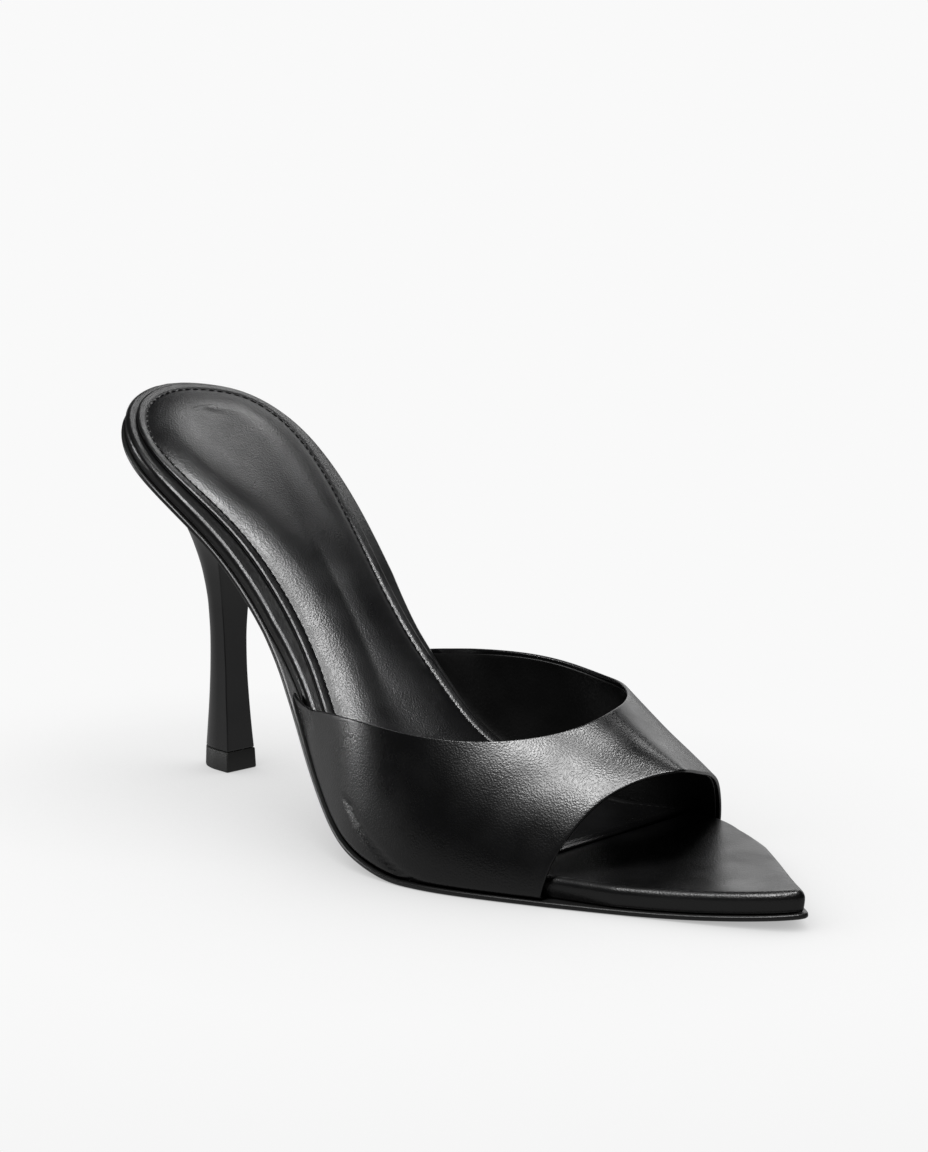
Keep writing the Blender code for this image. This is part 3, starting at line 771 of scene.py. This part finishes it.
def build_stitches(thread, painted_hole_shade):
    """Black thread in the sock's channel, and painted shade in the needle holes between its stitches: small
    matte black marks sunk into the sock.
    """
    line, way_up = stitch_path()
    lay_along("sock_stitches", line, way_up, stitch_tree(thread), {}, thread)
    # Painted shade of the needle holes: the same nodes lay a matte black mark half a pitch on from each
    # stitch
    sizes = {"Start": STITCH_PITCH / 2, "Stitch length": NEEDLE_HOLE_LENGTH,
             "Thread width": NEEDLE_HOLE_WIDTH, "Arch": NEEDLE_HOLE_ARCH, "Sink": NEEDLE_HOLE_SINK}
    lay_along("painted_needle_hole_shade", line, way_up, stitch_tree(painted_hole_shade), sizes, painted_hole_shade)


def shader(name, colour, roughness, coat=0.0, coat_roughness=0.2, level=0.5):
    """A new surface with its plain values set on the shader itself."""
    material = bpy.data.materials.new(name)
    material.use_nodes = True
    tree = material.node_tree
    surface = tree.nodes["Principled BSDF"]
    surface.inputs["Base Color"].default_value = (*colour, 1.0)
    surface.inputs["Roughness"].default_value = roughness
    surface.inputs["Coat Weight"].default_value = coat
    surface.inputs["Coat Roughness"].default_value = coat_roughness
    surface.inputs["Specular IOR Level"].default_value = level
    return material, tree, surface


def leather(name, colour, roughness, grain, bump):
    """Black leather: pebbled grain in the relief, uneven gloss and a slightly uneven black."""
    material, tree, surface = shader(name, colour, roughness)
    link = tree.links.new
    place = tree.nodes.new("ShaderNodeTexCoord")
    warp = add_node(tree, "ShaderNodeTexNoise", Scale=0.45 / grain, Detail=2.0)
    link(place.outputs["Object"], warp.inputs["Vector"])
    offset = add_node(tree, "ShaderNodeVectorMath", operation="SCALE")
    offset.inputs["Scale"].default_value = grain * 0.9
    link(warp.outputs["Color"], offset.inputs[0])
    moved = add_node(tree, "ShaderNodeVectorMath", operation="ADD")
    link(place.outputs["Object"], moved.inputs[0])
    link(offset.outputs[0], moved.inputs[1])
    cells = add_node(tree, "ShaderNodeTexVoronoi", feature="SMOOTH_F1", Scale=1.0 / grain, Smoothness=0.35)
    link(moved.outputs[0], cells.inputs["Vector"])
    pebble = add_node(tree, "ShaderNodeMapRange")
    pebble.inputs["From Max"].default_value = 0.75
    pebble.inputs["To Min"].default_value = 1.0
    pebble.inputs["To Max"].default_value = 0.0
    link(cells.outputs["Distance"], pebble.inputs["Value"])
    fine = add_node(tree, "ShaderNodeTexNoise", Scale=2.2 / grain, Detail=2.0)
    link(place.outputs["Object"], fine.inputs["Vector"])
    mixed = add_node(tree, "ShaderNodeMix", data_type="FLOAT")
    mixed.inputs[0].default_value = 0.25
    link(pebble.outputs[0], mixed.inputs[2])
    link(fine.outputs["Fac"], mixed.inputs[3])
    relief = add_node(tree, "ShaderNodeBump", Strength=bump, Distance=grain * 0.30)
    link(mixed.outputs[0], relief.inputs["Height"])
    link(relief.outputs[0], surface.inputs["Normal"])
    broad = add_node(tree, "ShaderNodeTexNoise", Scale=95.0, Detail=4.0)
    link(place.outputs["Object"], broad.inputs["Vector"])
    gloss = add_node(tree, "ShaderNodeMapRange")
    gloss.inputs["From Min"].default_value = 0.3
    gloss.inputs["From Max"].default_value = 0.7
    gloss.inputs["To Min"].default_value = roughness - GLOSS_SPREAD / 2
    gloss.inputs["To Max"].default_value = roughness + GLOSS_SPREAD / 2
    link(broad.outputs["Fac"], gloss.inputs["Value"])
    link(gloss.outputs[0], surface.inputs["Roughness"])
    tone = add_node(tree, "ShaderNodeMix", data_type="RGBA")
    tone.inputs[6].default_value = (*colour, 1.0)
    tone.inputs[7].default_value = (colour[0] + WORN, colour[1] + WORN, colour[2] + WORN * 1.05, 1.0)
    link(broad.outputs["Fac"], tone.inputs[0])
    link(tone.outputs[2], surface.inputs["Base Color"])
    return material


def moulded(name, colour, roughness, speck, bump, coat=0.0):
    """Plain moulded or lacquered finish with a fine uneven surface."""
    material, tree, surface = shader(name, colour, roughness, coat, COAT_ROUGHNESS)
    link = tree.links.new
    place = tree.nodes.new("ShaderNodeTexCoord")
    noise = add_node(tree, "ShaderNodeTexNoise", Scale=1.0 / speck, Detail=3.0)
    link(place.outputs["Object"], noise.inputs["Vector"])
    relief = add_node(tree, "ShaderNodeBump", Strength=bump, Distance=speck * 0.1)
    link(noise.outputs["Fac"], relief.inputs["Height"])
    link(relief.outputs[0], surface.inputs["Normal"])
    broad = add_node(tree, "ShaderNodeTexNoise", Scale=140.0, Detail=4.0)
    link(place.outputs["Object"], broad.inputs["Vector"])
    gloss = add_node(tree, "ShaderNodeMapRange")
    gloss.inputs["To Min"].default_value = roughness - 0.05
    gloss.inputs["To Max"].default_value = roughness + 0.05
    link(broad.outputs["Fac"], gloss.inputs["Value"])
    link(gloss.outputs[0], surface.inputs["Roughness"])
    tone = add_node(tree, "ShaderNodeMix", data_type="RGBA")
    tone.inputs[6].default_value = (*colour, 1.0)
    tone.inputs[7].default_value = (*[v * 1.5 + 0.001 for v in colour], 1.0)
    link(broad.outputs["Fac"], tone.inputs[0])
    link(tone.outputs[2], surface.inputs["Base Color"])
    return material


def direction(azimuth, elevation):
    """Unit vector for a bearing from +X towards +Y and a height above the floor, in degrees."""
    a, e = math.radians(azimuth), math.radians(elevation)
    return Vector((math.cos(a) * math.cos(e), math.sin(a) * math.cos(e), math.sin(e)))


def add_panel(name, azimuth, elevation, distance, width, height, power):
    """A soft rectangular light that faces the shoe."""
    light = bpy.data.lights.new(name, "AREA")
    light.shape = "RECTANGLE"
    light.size, light.size_y = width, height
    light.energy = power
    item = bpy.data.objects.new(name, light)
    aim = Vector(LIGHT_AIM)
    item.location = aim + direction(azimuth, elevation) * distance
    item.rotation_euler = (aim - item.location).to_track_quat("-Z", "Y").to_euler()
    item.visible_camera = False
    bpy.context.scene.collection.objects.link(item)


def add_lights():
    """Soft overhead panels, a pale wall behind, a strip at the back left and a dim room."""
    add_panel("panel_front_top", -70, 59, 1.2, 0.28, 0.30, 11.5)
    add_panel("panel_back_top", -6, 76, 1.2, 0.26, 0.22, 9.0)
    add_panel("panel_seat", 118, 47, 1.3, 0.36, 0.30, 1.8)
    add_panel("wall_behind", 128, 12, 1.6, 2.2, 0.8, 6.0)
    add_panel("strip_left", -152, 0, 1.2, 0.22, 0.50, 5.5)
    world = bpy.data.worlds.new("dim_room")
    world.use_nodes = True
    world.node_tree.nodes["Background"].inputs["Color"].default_value = (0.92, 0.95, 1.0, 1.0)
    world.node_tree.nodes["Background"].inputs["Strength"].default_value = 0.03
    bpy.context.scene.world = world
    bpy.context.scene.view_settings.view_transform = "Standard"


def soft_step(tree, between, values):
    """A node that passes softly from the first value to the second between two places."""
    node = add_node(tree, "ShaderNodeMapRange", interpolation_type="SMOOTHSTEP")
    node.inputs["From Min"].default_value, node.inputs["From Max"].default_value = between
    node.inputs["To Min"].default_value, node.inputs["To Max"].default_value = values
    return node


def add_floor():
    """Pale floor that glows near white, a little dimmer towards the camera, with a soft painted contact
    shadow where the shoe stands close.
    """
    mesh = bpy.data.meshes.new("pale_floor")
    reach = FLOOR_REACH
    corners = [(-reach, -reach, 0), (reach, -reach, 0), (reach, reach, 0), (-reach, reach, 0)]
    mesh.from_pydata(corners, [], [(0, 1, 2, 3)])
    material, tree, surface = shader("floor_white", (0.0, 0.0, 0.0), 0.60, level=0.0)
    # Painted contact shadow: ambient occlusion dims the floor's glow near the shoe
    near = add_node(tree, "ShaderNodeAmbientOcclusion", Distance=FLOOR_SHADE_DISTANCE, samples=16)
    shade = add_node(tree, "ShaderNodeMapRange", interpolation_type="LINEAR")
    shade.inputs["To Min"].default_value = FLOOR_SHADE
    place = tree.nodes.new("ShaderNodeTexCoord")
    forward = add_node(tree, "ShaderNodeVectorMath", operation="DOT_PRODUCT")
    forward.inputs[1].default_value = FLOOR_FORWARD
    fade = soft_step(tree, FLOOR_FADE, FLOOR_WHITE)
    tone = add_node(tree, "ShaderNodeMath", operation="MULTIPLY")
    tree.links.new(near.outputs["AO"], shade.inputs["Value"])
    tree.links.new(place.outputs["Object"], forward.inputs[0])
    tree.links.new(forward.outputs["Value"], fade.inputs["Value"])
    tree.links.new(fade.outputs[0], tone.inputs[0])
    tree.links.new(shade.outputs[0], tone.inputs[1])
    seen = add_node(tree, "ShaderNodeLightPath")
    glow = add_node(tree, "ShaderNodeMix", data_type="FLOAT")
    far = add_node(tree, "ShaderNodeVectorMath", operation="DISTANCE")
    far.inputs[1].default_value = GLOW_MIDDLE
    lit = soft_step(tree, GLOW_FADE, GLOW_LIGHT)
    tree.links.new(place.outputs["Object"], far.inputs[0])
    tree.links.new(far.outputs["Value"], lit.inputs["Value"])
    tree.links.new(lit.outputs[0], glow.inputs[2])
    tree.links.new(seen.outputs["Is Camera Ray"], glow.inputs[0])
    tree.links.new(tone.outputs[0], glow.inputs[3])
    tree.links.new(glow.outputs[0], surface.inputs["Emission Strength"])
    surface.inputs["Emission Color"].default_value = (1.0, 1.0, 1.0, 1.0)
    mesh.materials.append(material)
    floor = bpy.data.objects.new("pale_floor", mesh)
    bpy.context.scene.collection.objects.link(floor)


def add_camera():
    """Camera at the photograph's angle and distance."""
    a, e = math.radians(CAMERA_AZIMUTH), math.radians(CAMERA_ELEVATION)
    back = Vector((math.sin(a) * math.cos(e), -math.cos(a) * math.cos(e), math.sin(e)))
    right = Vector((math.cos(a), math.sin(a), 0.0))
    up = back.cross(right)
    eye = right * CAMERA_AIM[0] + up * CAMERA_AIM[1] + Vector((CAMERA_ALONG, 0, 0)) + back * CAMERA_DISTANCE
    data = bpy.data.cameras.new("photo_camera")
    data.lens = CAMERA_LENS
    data.sensor_width = 36.0
    data.clip_start = 0.05
    item = bpy.data.objects.new("photo_camera", data)
    item.matrix_world = Matrix((
        (right.x, up.x, back.x, eye.x), (right.y, up.y, back.y, eye.y),
        (right.z, up.z, back.z, eye.z), (0, 0, 0, 1)))
    bpy.context.scene.collection.objects.link(item)
    bpy.context.scene.camera = item


def build_shoe():
    """Every piece of the mule in its own finish."""
    build_outsole(moulded("outsole_finish", (0.004, 0.004, 0.004), 0.38, 0.0009, 0.25))
    build_insole(leather("rim_finish", (0.0020, 0.0020, 0.0021), 0.33, 0.00046, 0.26))
    build_sock(leather("sock_finish", (0.0022, 0.0022, 0.0024), 0.32, 0.00045, 0.30))
    vamp_shell("vamp_leather", 0.0, 0.0, VAMP_LEATHER,
               leather("vamp_finish", (0.0016, 0.0016, 0.0017), 0.30, 0.00046, 0.28), "upper")
    lining_outside = VAMP_LEATHER + LINING_GAP
    vamp_shell("vamp_lining", LINING_MARGIN, lining_outside, lining_outside + LINING,
               leather("lining_finish", (0.0014, 0.0014, 0.0014), 0.50, 0.00070, 0.18))
    build_heel(moulded("heel_finish", (0.0016, 0.0016, 0.0018), 0.22, 0.0016, 0.04, coat=0.2))
    build_top_piece(moulded("lift_finish", (0.007, 0.007, 0.0065), 0.55, 0.0004, 0.35))
    thread, _, _ = shader("thread_black", (0.004, 0.004, 0.004), 0.70, level=0.2)
    # Matte black for the painted shade inside the needle holes
    painted_hole_shade, _, _ = shader("painted_hole_shade_black", (0.001, 0.001, 0.001), 0.95, level=0.05)
    build_stitches(thread, painted_hole_shade)


add_camera()
build_shoe()
add_lights()
add_floor()
